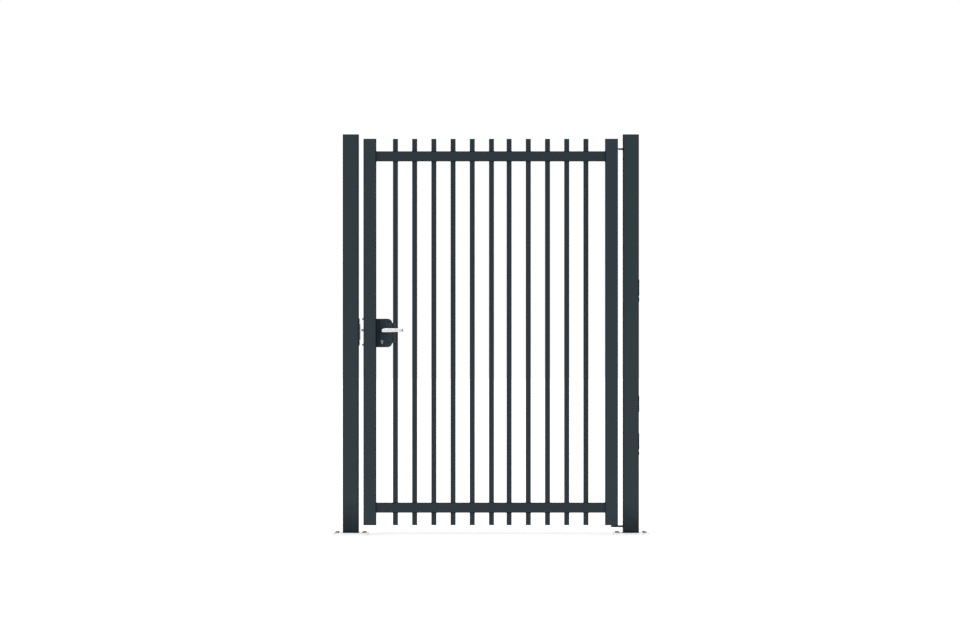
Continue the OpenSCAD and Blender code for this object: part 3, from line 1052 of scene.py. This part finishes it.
# ------------------------------------------------------------------ sub-assemblies
@dataclass
class PostFoot:
    """A post's foot: its base plate, the weld round the tube and the anchor screws."""

    post: str
    weld: WeldBead
    anchor_spacing: float = 0.136
    washer_radius: float = 0.012
    washer_thickness: float = 0.0014
    washer_edge: float = 0.0003
    tube_corner: float = 0.006
    plate_ease: float = 0.0006
    head: HexHead = HexHead(width=0.0175, height=0.0044)
    head_turn: float = 23.0

    def build(self) -> Pieces:
        """Builds the foot's pieces.

        Returns:
            The pieces.
        """
        low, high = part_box(self.post)
        size, middle = high - low, (low + high) / 2
        middle.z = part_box(self.post + "_plate")[1].z
        washers, heads, seam = Skin(), Skin(), Skin()
        radius, thickness, edge = self.washer_radius, self.washer_thickness, self.washer_edge
        for index, (sx, sy) in enumerate(CORNERS):
            seat = middle + self.anchor_spacing / 2 * Vector((sx, sy, 0))
            washers.add_turned([(radius - edge, 0.0), (radius, edge), (radius, thickness - edge),
                                (radius - edge, thickness)], Matrix.Translation(seat))
            self.head.drive(heads, seat + Vector((0, 0, thickness)), index * self.head_turn)
        self.weld.lay(seam, size.x, size.y, self.tube_corner, Matrix.Translation(middle))
        return [
            eased_copy(self.post + "_plate", Body.POSTS, ZINC, self.plate_ease),
            finish_piece(washers.to_mesh("washers"), self.post + "_washers", Body.POSTS, DULL_ZINC),
            finish_piece(heads.to_mesh("heads"), self.post + "_anchor_heads", Body.POSTS, DULL_ZINC),
            finish_piece(seam.to_mesh("seam"), self.post + "_foot_weld", Body.POSTS, POST_COAT),
        ]


@dataclass
class PostCaps:
    """The flat caps that close the posts."""

    ease: float = 0.0008

    def build(self) -> Pieces:
        """Builds the caps.

        Returns:
            The caps.
        """
        return [eased_copy(post + "_cap", Body.POSTS, SHADED_CAP_COAT, self.ease)
                for post in ("hinge_post", "latch_post")]


@dataclass
class Hinges:
    """The plates that carry the leaf's pivots, welded to the hinge post."""

    weld: WeldBead
    ease: float = 0.0007
    plate_corner: float = 0.001

    def build(self) -> Pieces:
        """Builds the hinge pieces.

        Returns:
            The pieces.
        """
        seam = Skin()
        for node in ("lower_hinge_plate", "upper_hinge_lug"):
            low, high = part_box(node)
            size = high - low
            place = Matrix.Translation(Vector((high.x, 0, (low.z + high.z) / 2))) @ spin(90, "Y")
            self.weld.lay(seam, size.z, size.y, self.plate_corner, place)
        return [
            eased_copy("lower_hinge_plate", Body.POSTS, HINGE_COAT, self.ease),
            eased_copy("upper_hinge_lug", Body.POSTS, HINGE_COAT, self.ease),
            eased_copy("upper_pivot_tongue", Body.POSTS, PIVOT_ZINC, self.ease),
            finish_piece(seam.to_mesh("seam"), "hinge_plate_welds", Body.POSTS, HINGE_COAT),
        ]


@dataclass
class FenceClips:
    """The flat clips on the hinge post's outer side, their screws and the panel bolts below."""

    screw: SocketScrew = SocketScrew(head_radius=0.0055, head_height=0.0008, socket_width=0.004,
                                     socket_depth=0.0006)
    screw_spacing: float = 0.050
    clip_spread: float = 0.09
    ease: float = 0.0004
    bolts: tuple[SocketScrew, ...] = tuple(
        SocketScrew(head_radius=radius, head_height=0.0026, socket_width=0.006, socket_depth=0.0012)
        for radius in (0.010, 0.0125))
    bolt_heights: tuple[float, ...] = (0.4085, 1.181)

    def build(self) -> Pieces:
        """Builds the clips' pieces.

        Returns:
            The pieces.
        """
        outwards = Vector((1, 0, 0))
        clip_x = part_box("fence_clips")[1].x
        post_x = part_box("hinge_post")[1].x
        screws, heads = Skin(), Skin()
        for middle in self.clip_middles():
            for side in (-1, 1):
                seat = Vector((clip_x, 0, middle + side * self.screw_spacing / 2))
                self.screw.drive(screws, seat, outwards)
        for bolt, height in zip(self.bolts, self.bolt_heights):
            bolt.drive(heads, Vector((post_x, 0, height)), outwards)
        return [
            eased_copy("fence_clips", Body.POSTS, PLATE_COAT, self.ease),
            finish_piece(screws.to_mesh("screws"), "fence_clip_screws", Body.POSTS, PLATE_COAT),
            finish_piece(heads.to_mesh("heads"), "fence_panel_bolts", Body.POSTS, PLATE_COAT),
        ]

    def clip_middles(self) -> list[float]:
        """Finds the height of each clip's middle, by grouping the heights of the node's corners.

        Returns:
            The heights, from the lowest clip up.
        """
        heights = sorted(vertex.co.z for vertex in frame["nodes"]["fence_clips"].data.vertices)
        clips = [[heights[0]]]
        for height in heights[1:]:
            if height - clips[-1][0] > self.clip_spread:
                clips.append([])
            clips[-1].append(height)
        return [(clip[0] + clip[-1]) / 2 for clip in clips]


@dataclass
class LeafFrame:
    """The leaf's tubes: stiles, rails and bars with their caps and welds."""

    weld: WeldBead
    bar_weld: WeldBead
    rail_corner: float = 0.003
    bar_corner: float = 0.002
    stile_cap_ease: float = 0.0006
    bar_cap_ease: float = 0.0004

    def build(self) -> Pieces:
        """Builds the leaf's pieces.

        Returns:
            The pieces.
        """
        pieces = [eased_copy(node, Body.LEAF, SHADED_CAP_COAT, self.stile_cap_ease)
                  for node in ("hinge_stile_cap", "lock_stile_top_cap", "lock_stile_bottom_cap")]
        pieces += [eased_copy(node, Body.LEAF, SHADED_CAP_COAT, self.bar_cap_ease)
                   for node in ("bar_top_caps", "bar_bottom_caps")]
        rail_seams, bar_seams = Skin(), Skin()
        for rail in ("top_rail", "bottom_rail"):
            low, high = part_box(rail)
            size, middle = high - low, (low + high) / 2
            for x in (low.x, high.x):
                place = Matrix.Translation(Vector((x, 0, middle.z))) @ spin(90, "Y")
                self.weld.lay(rail_seams, size.z, size.y, self.rail_corner, place)
            for bar in BAR_NODES:
                self.weld_bar(bar_seams, bar, (low.z, high.z))
        return pieces + [
            finish_piece(rail_seams.to_mesh("rail_seams"), "rail_end_welds", Body.LEAF, WELD_COAT),
            finish_piece(bar_seams.to_mesh("bar_seams"), "bar_welds", Body.LEAF, WELD_COAT),
        ]

    def weld_bar(self, seams: Skin, bar: str, heights: Iterable[float]) -> None:
        """Lays a bead round one bar at each height.

        Args:
            seams: The skin that the beads are added to.
            bar: The bar's node.
            heights: The heights of the beads.
        """
        low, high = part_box(bar)
        size = high - low
        for z in heights:
            place = Matrix.Translation(Vector(((low.x + high.x) / 2, 0, z)))
            self.bar_weld.lay(seams, size.x, size.x, self.bar_corner, place)


@dataclass
class LeverPair:
    """The two levers on one spindle: a flat bar that bends back to the gate at its tip."""

    height: float = 0.020
    tip_height: float = 0.0165
    thickness: float = 0.012
    back_length: float = 0.0094
    bend_radius: float = 0.024
    shoulder_drop: float = 0.0056
    shoulder_length: float = 0.019
    corner: float = 0.0040
    end_round: float = 0.004
    neck_radius: float = 0.0080
    neck_flare: float = 0.0008
    neck_edge: float = 0.0004
    neck_sunk_share: float = 0.25
    flare_length: float = 0.004
    flare_steps: int = 6
    tip_return: float = 0.006
    ring_points: int = 32
    end_count: int = 5
    straight_count: int = 16
    bend_count: int = 10
    least_end_share: float = 0.2
    smooth_angle: float = 50.0

    def build(self) -> Pieces:
        """Builds both levers.

        Returns:
            The grips and their necks.
        """
        return [make(side) for side in Side for make in (self.grip, self.neck)]

    def place(self, side: Side) -> Matrix:
        """Returns the place of one lever's axis, with +Y away from the gate."""
        return Matrix.Translation(self.axis()) @ Matrix.Diagonal((1, side.value, 1, 1))

    def grip(self, side: Side) -> Object:
        """Builds one lever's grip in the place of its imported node.

        Args:
            side: The face of the gate that it is on.

        Returns:
            The grip.
        """
        node = "lever_" + side.name.lower()
        low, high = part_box(node)
        far = max(abs(low.y), abs(high.y))
        place, skin = self.place(side), Skin()
        rings = self.grip_rings(high.x - self.axis().x, far)
        skin.add_rings([[place @ point for point in ring] for ring in rings])
        piece = finish_piece(skin.to_mesh("grip"), node + "_grip", Body.HANDLE, SATIN,
                             self.smooth_angle)
        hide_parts(node)
        return piece

    def neck(self, side: Side) -> Object:
        """Builds the round neck between one grip and the lock.

        Args:
            side: The face of the gate that it is on.

        Returns:
            The neck.
        """
        node = "lever_" + side.name.lower()
        low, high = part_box(node)
        near, far = sorted((abs(low.y), abs(high.y)))
        grip_face = far - self.thickness
        profile = [(self.neck_radius - self.neck_edge, near), (self.neck_radius, near + self.neck_edge)]
        for k in range(self.flare_steps + 1):
            angle = math.pi / 2 * k / self.flare_steps
            profile.append((self.neck_radius + self.neck_flare * (1 - math.cos(angle)),
                            grip_face - self.flare_length * (1 - math.sin(angle))))
        profile.append((self.neck_radius + self.neck_flare,
                        grip_face + self.neck_sunk_share * self.thickness))
        skin = Skin()
        skin.add_turned(profile, self.place(side) @ spin(-90, "X"))
        return finish_piece(skin.to_mesh("neck"), node + "_neck", Body.HANDLE, NICKEL,
                            self.smooth_angle)

    def axis(self) -> Vector:
        """Returns the point on the gate's middle plane that the levers turn about."""
        low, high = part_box("handle_spindle")
        return (low + high) / 2

    def grip_rings(self, reach: float, far: float) -> list[list[Vector]]:
        """Lays out the grip's sections along its route, seen from above with +Y outwards.

        Args:
            reach: Distance of the outer bend from the axis.
            far: Distance of the grip's outer face from the gate's middle.

        Returns:
            The sections, from the back end to the tip.
        """
        middle_y = far - self.thickness / 2
        bend = Vector((reach - self.bend_radius, far - self.bend_radius, 0))
        mean_radius = self.bend_radius - self.thickness / 2
        end_steps = [self.end_round * (1 - math.cos(math.pi / 2 * k / self.end_count))
                     for k in range(self.end_count + 1)]
        straight = [step - self.back_length for step in end_steps]
        last_x = straight[-1]
        straight += [last_x + (bend.x - last_x) * k / self.straight_count
                     for k in range(1, self.straight_count + 1)]
        route = [(Vector((x, middle_y, 0)), Vector((1, 0, 0))) for x in straight]
        for k in range(1, self.bend_count + 1):
            angle = math.pi / 2 * (1 - k / self.bend_count)
            outwards = Vector((math.cos(angle), math.sin(angle), 0))
            route.append((bend + mean_radius * outwards, Vector((outwards.y, -outwards.x, 0))))
        end_point = route[-1][0]
        drop = self.tip_return - self.end_round
        tail = [drop / 2, drop]
        tail += [drop + self.end_round - step for step in reversed(end_steps[:-1])]
        route += [(end_point - Vector((0, step, 0)), Vector((0, -1, 0))) for step in tail]
        rings = []
        travelled = 0.0
        for index, (point, ahead) in enumerate(route):
            if index:
                travelled += (point - route[index - 1][0]).length
            rings.append(self.section(point, ahead, travelled, reach))
        self.close_in(rings, end_steps)
        return rings

    def section(self, point: Vector, ahead: Vector, travelled: float, reach: float) -> list[Vector]:
        """Draws one section of the grip.

        Args:
            point: The section's middle.
            ahead: The way that the grip runs.
            travelled: Distance along the grip from its back end.
            reach: Distance of the outer bend from the axis.

        Returns:
            The section's points.
        """
        share = min(1.0, max(0.0, (travelled - self.shoulder_length)
                             / (reach + self.back_length - self.shoulder_length)))
        half = (self.height + (self.tip_height - self.height) * share) / 2
        slant = max(0.0, 1 - travelled / self.shoulder_length)
        top = half - self.shoulder_drop * slant
        outwards = Vector((-ahead.y, ahead.x, 0))
        loop = rounded_section(self.thickness, half + top, self.corner, self.ring_points)
        lift = (top - half) / 2
        return [point + outwards * a + Vector((0, 0, b + lift)) for a, b in loop]

    def close_in(self, rings: list[list[Vector]], end_steps: Sequence[float]) -> None:
        """Draws the first and last sections in, so that both ends are rounded.

        Args:
            rings: The sections, which are changed.
            end_steps: Distances of the end sections from the very end.
        """
        for k, step in enumerate(end_steps):
            share = 1 - step / self.end_round
            pull = self.end_round * (1 - math.sqrt(max(0.0, 1 - share * share)))
            for ring in (rings[k], rings[-1 - k]):
                middle = sum(ring, Vector()) / len(ring)
                for i, corner_point in enumerate(ring):
                    reach = (corner_point - middle).length
                    kept = max(self.least_end_share, (reach - pull) / reach)
                    ring[i] = middle + (corner_point - middle) * kept


def rounded_section(width: float, height: float, corner: float,
                    count: int) -> list[tuple[float, float]]:
    """Walks round a rectangle with round corners, with the same number of points for any size.

    Args:
        width: Size along the first axis.
        height: Size along the second axis.
        corner: Corner radius.
        count: Number of points, a multiple of 4.

    Returns:
        The points.
    """
    per_corner = count // 4
    points = []
    for sx, sy, start in QUARTERS:
        for k in range(per_corner):
            angle = math.radians(start + 90 * k / (per_corner - 1))
            points.append((sx * (width / 2 - corner) + corner * math.cos(angle),
                           sy * (height / 2 - corner) + corner * math.sin(angle)))
    return points


@dataclass
class Lock:
    """The lock: case, covers with their screws, ties to the first bar, bolt and key cylinder."""

    cover_ease: float = 0.0006
    case_ease: float = 0.0004
    tie_ease: float = 0.0005
    bolt_ease: float = 0.0005
    cylinder_ease: float = 0.0004
    screw: SocketScrew = SocketScrew()
    screw_inset_x: float = 0.0165
    screw_inset_top: float = 0.0130
    screw_inset_low: float = 0.0250
    cover_thickness: float = 0.004
    plug_radius: float = 0.0055
    plug_proud: float = 0.0012
    plug_edge: float = 0.0003
    plug_sunk: float = 0.001
    keyway_width: float = 0.0015
    keyway_height: float = 0.0070
    keyway_depth: float = 0.0020
    fixing: SocketScrew = SocketScrew(head_radius=0.0048, head_height=0.0070, socket_width=0.004,
                                      socket_depth=0.002)
    fixing_heights: tuple[float, float] = (0.954, 1.083)
    seal_thickness: float = 0.003
    seal_growth: float = 1.12

    def build(self) -> Pieces:
        """Builds the lock's pieces.

        Returns:
            The pieces.
        """
        screws, fixings = Skin(), Skin()
        for side in Side:
            low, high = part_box("lock_cover_" + side.name.lower())
            cover_y = side.value * (min(abs(low.y), abs(high.y)) + self.cover_thickness)
            for z in (low.z + self.screw_inset_low, high.z - self.screw_inset_top):
                self.screw.drive(screws, Vector((high.x - self.screw_inset_x, cover_y, z)),
                                 Vector((0, side.value, 0)))
        stile_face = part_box("lock_stile")[0].x
        for z in self.fixing_heights:
            self.fixing.drive(fixings, Vector((stile_face, 0, z)), Vector((-1, 0, 0)))
        return [
            eased_copy("lock_case", Body.LEAF, CASE_COAT, self.case_ease),
            eased_copy("lock_cover_front", Body.LEAF, COVER_COAT, self.cover_ease),
            eased_copy("lock_cover_back", Body.LEAF, COVER_COAT, self.cover_ease),
            eased_copy("lock_bar_ties", Body.LEAF, LIT_TIE_COAT, self.tie_ease),
            eased_copy("key_cylinder", Body.LEAF, NICKEL, self.cylinder_ease),
            eased_copy("latch_bolt", Body.LATCH, LATCH_METAL, self.bolt_ease),
            finish_piece(screws.to_mesh("screws"), "lock_cover_screws", Body.LEAF, COVER_COAT),
            finish_piece(fixings.to_mesh("fixings"), "lock_fixing_screws", Body.LEAF, DULL_ZINC),
            self.seal(),
            *[self.plug(side) for side in Side],
        ]

    def seal(self) -> Object:
        """Builds the thin seal inside the case that shuts the gap round the cylinder.

        Returns:
            The seal.
        """
        low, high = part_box("key_cylinder")
        middle = (low + high) / 2
        work = bmesh.new()
        work.from_mesh(frame["nodes"]["key_cylinder"].data)
        for vertex in work.verts:
            vertex.co = middle + (vertex.co - middle) * self.seal_growth
            vertex.co.y = math.copysign(self.seal_thickness / 2, vertex.co.y)
        mesh = bpy.data.meshes.new("seal")
        work.to_mesh(mesh)
        work.free()
        return finish_piece(mesh, "cylinder_seal", Body.LEAF, CASE_COAT)

    def plug(self, side: Side) -> Object:
        """Builds the turning plug of the cylinder, with its keyway.

        Args:
            side: The face of the gate that it is on.

        Returns:
            The plug.
        """
        low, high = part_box("key_cylinder")
        cylinder_radius = (high.x - low.x) / 2
        seat = Vector(((low.x + high.x) / 2, side.value * max(abs(low.y), abs(high.y)),
                       high.z - cylinder_radius))
        place = Matrix.Translation(seat) @ facing(Vector((0, side.value, 0)))
        disc, keyway = Skin(), Skin()
        disc.add_turned([(self.plug_radius, -self.plug_sunk),
                         (self.plug_radius, self.plug_proud - self.plug_edge),
                         (self.plug_radius - self.plug_edge, self.plug_proud)], place)
        half = Vector((self.keyway_width / 2, 0, self.keyway_height / 2))
        corners = [Vector((sx * half.x, 0, sz * half.z)) for sx, sz in CORNERS]
        depths = (self.plug_proud - self.keyway_depth, 2 * self.plug_proud)
        keyway.add_rings([[seat + corner + Vector((0, side.value * depth, 0)) for corner in corners]
                          for depth in depths])
        mesh = carve(disc.to_mesh("disc"), keyway.to_mesh("keyway"))
        return finish_piece(mesh, "key_plug_" + side.name.lower(), Body.LEAF, NICKEL)


@dataclass
class Keep:
    """The keep on the latch post and its two screws."""

    ease: float = 0.0006
    screw: SocketScrew = SocketScrew(head_radius=0.0062, head_height=0.0012, socket_width=0.004,
                                     socket_depth=0.0009)
    slot_from_end: float = 0.014
    plate_thickness: float = 0.004

    def build(self) -> Pieces:
        """Builds the keep's pieces.

        Returns:
            The pieces.
        """
        low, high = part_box("lock_keep")
        screws = Skin()
        for z in (low.z + self.slot_from_end, high.z - self.slot_from_end):
            seat = Vector((low.x + self.plate_thickness, 0, z))
            self.screw.drive(screws, seat, Vector((1, 0, 0)))
        return [
            eased_copy("lock_keep", Body.POSTS, LIT_KEEP_COAT, self.ease),
            finish_piece(screws.to_mesh("screws"), "keep_screws", Body.POSTS, LIT_KEEP_COAT),
        ]


def dress_packed_nodes() -> int:
    """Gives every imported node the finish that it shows, or that lies under its eased copy.

    Returns:
        How many nodes were dressed.
    """
    by_slot = {Slot.COAT: PLATE_COAT, Slot.ZINC: ZINC, Slot.LOCK: CASE_COAT, Slot.SATIN: SATIN,
               Slot.NICKEL: NICKEL}
    own = dict.fromkeys(("hinge_post", "latch_post"), POST_COAT)
    own |= dict.fromkeys(("hinge_stile", "lock_stile"), STILE_COAT)
    own |= dict.fromkeys(("top_rail", "bottom_rail"), SHADED_RAIL_COAT)
    own |= dict.fromkeys(BAR_NODES, SHADED_BAR_COAT)
    own |= dict.fromkeys(PIVOT_NODES, PIVOT_ZINC)
    for part in frame["record"]["subparts"]:
        finish = own.get(part["node"], by_slot[Slot(part["material_slot"])])
        for slot in frame["nodes"][part["node"]].material_slots:
            slot.material = finish.material()
    return len(frame["record"]["subparts"])


# ------------------------------------------------------------------ studio
@dataclass(frozen=True)
class Lamp:
    """A soft distant lamp. Its level is the share of plain white that it gives a face square to it."""

    name: str
    level: float
    azimuth: float
    elevation: float
    spread: float

    def hang(self) -> None:
        """Hangs the lamp round the gate, with azimuth 0 in front of it."""
        light = bpy.data.lights.new(self.name, "SUN")
        light.energy = self.level * math.pi
        light.angle = math.radians(self.spread)
        around, up = math.radians(self.azimuth), math.radians(self.elevation)
        towards = Vector((math.sin(around) * math.cos(up), -math.cos(around) * math.cos(up),
                          math.sin(up)))
        new_object(self.name, light).rotation_euler = towards.to_track_quat("Z", "Y").to_euler()


@dataclass(frozen=True)
class Studio:
    """A white floor and sky, soft lamps and a far, square-on camera."""

    ambient: float = 0.55
    floor_size: float = 160.0
    floor_depth: float = 0.5
    floor_shade: float = 0.96
    floor_glow: float = 0.28
    eye: tuple[float, float, float] = (-0.7577, -30.0, 1.0782)
    seen_width: float = 4.819
    front_depth: float = 0.03
    sensor_width: float = 36.0
    sight: float = 500.0
    lamps: tuple[Lamp, ...] = (
        Lamp("key_lamp", level=0.34, azimuth=-38, elevation=38, spread=55),
        Lamp("fill_lamp", level=0.14, azimuth=40, elevation=30, spread=70),
        Lamp("rear_lamp", level=0.20, azimuth=165, elevation=40, spread=70),
    )

    def build(self) -> None:
        """Builds the studio round the gate."""
        self.paint_sky()
        self.lay_floor()
        self.set_camera()
        for lamp in self.lamps:
            lamp.hang()
        bpy.context.scene.view_settings.view_transform = "Standard"

    def seen_rays(self, tree: Tree) -> Socket:
        """Masks the rays that show a white background: the camera's, glossy and transmitted ones.

        Args:
            tree: The node tree.

        Returns:
            The mask.
        """
        rays = add_node(tree, "LightPath").outputs
        mirrored = calculate(tree, "MAXIMUM", rays["Is Glossy Ray"], rays["Is Transmission Ray"])
        return calculate(tree, "MAXIMUM", rays["Is Camera Ray"], mirrored)

    def paint_sky(self) -> None:
        """Makes a sky that looks white and lights the gate at the ambient level."""
        world = bpy.data.worlds.new("studio_sky")
        bpy.context.scene.world = world
        world.use_nodes = True
        tree = world.node_tree
        tree.nodes.clear()
        strength = remap(tree, self.seen_rays(tree), 0.0, 1.0, self.ambient, 1.0)
        sky = add_node(tree, "Background", {"Color": WHITE, "Strength": strength})
        add_node(tree, "OutputWorld", {"Surface": sky.outputs[0]})

    def lay_floor(self) -> None:
        """Lays a wide white floor that keeps the gate's soft shadow."""
        half = self.floor_size / 2
        skin = Skin()
        skin.add_rings([[Vector((sx * half, sy * half, z)) for sx, sy in CORNERS]
                        for z in (-self.floor_depth, 0.0)])
        material, tree, shader = new_material("studio_floor")
        glow = calculate(tree, "MULTIPLY", self.seen_rays(tree), self.floor_glow)
        set_inputs(tree, shader, {"Base Color": [self.floor_shade] * 3, "Roughness": 1.0,
                                  "Specular IOR Level": 0.0, "Emission Color": WHITE,
                                  "Emission Strength": glow})
        mesh = skin.to_mesh("studio_floor")
        mesh.materials.append(material)
        new_object("studio_floor", mesh)

    def set_camera(self) -> None:
        """Sets the camera level and square to the gate, so far off that depth hardly shows."""
        data = bpy.data.cameras.new("studio_camera")
        data.sensor_width = self.sensor_width
        distance = -self.eye[1] - self.front_depth
        data.lens = self.sensor_width * distance / self.seen_width
        data.clip_end = self.sight
        camera = new_object("studio_camera", data)
        camera.location = self.eye
        camera.rotation_euler = (math.radians(90), 0, 0)
        bpy.context.scene.camera = camera


def clear_startup_objects() -> None:
    """Removes whatever the scene held before the gate was loaded."""
    kept = set(frame["nodes"].values()) | set(frame["bodies"].values())
    for leftover in [thing for thing in bpy.context.scene.objects if thing not in kept]:
        bpy.data.objects.remove(leftover)


def main() -> None:
    """Builds the studio, then each sub-assembly in turn, and reports what was made."""
    logging.basicConfig(level=logging.INFO, format="%(name)s: %(message)s")
    Studio().build()
    LOG.info("dressed %d packed nodes", dress_packed_nodes())
    assemblies = {
        "post caps": PostCaps(),
        "hinge post foot": PostFoot("hinge_post", WeldBead(radius=0.0018)),
        "latch post foot": PostFoot("latch_post", WeldBead(radius=0.0018)),
        "hinges": Hinges(WeldBead()),
        "fence clips": FenceClips(),
        "leaf frame": LeafFrame(WeldBead(radius=0.0022), WeldBead(radius=0.0016)),
        "lock": Lock(),
        "levers": LeverPair(),
        "keep": Keep(),
    }
    for title, assembly in assemblies.items():
        for piece in assembly.build():
            LOG.info("%s: %s", title, piece.name)


clear_startup_objects()
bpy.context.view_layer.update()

if __name__ == "__main__":
    main()
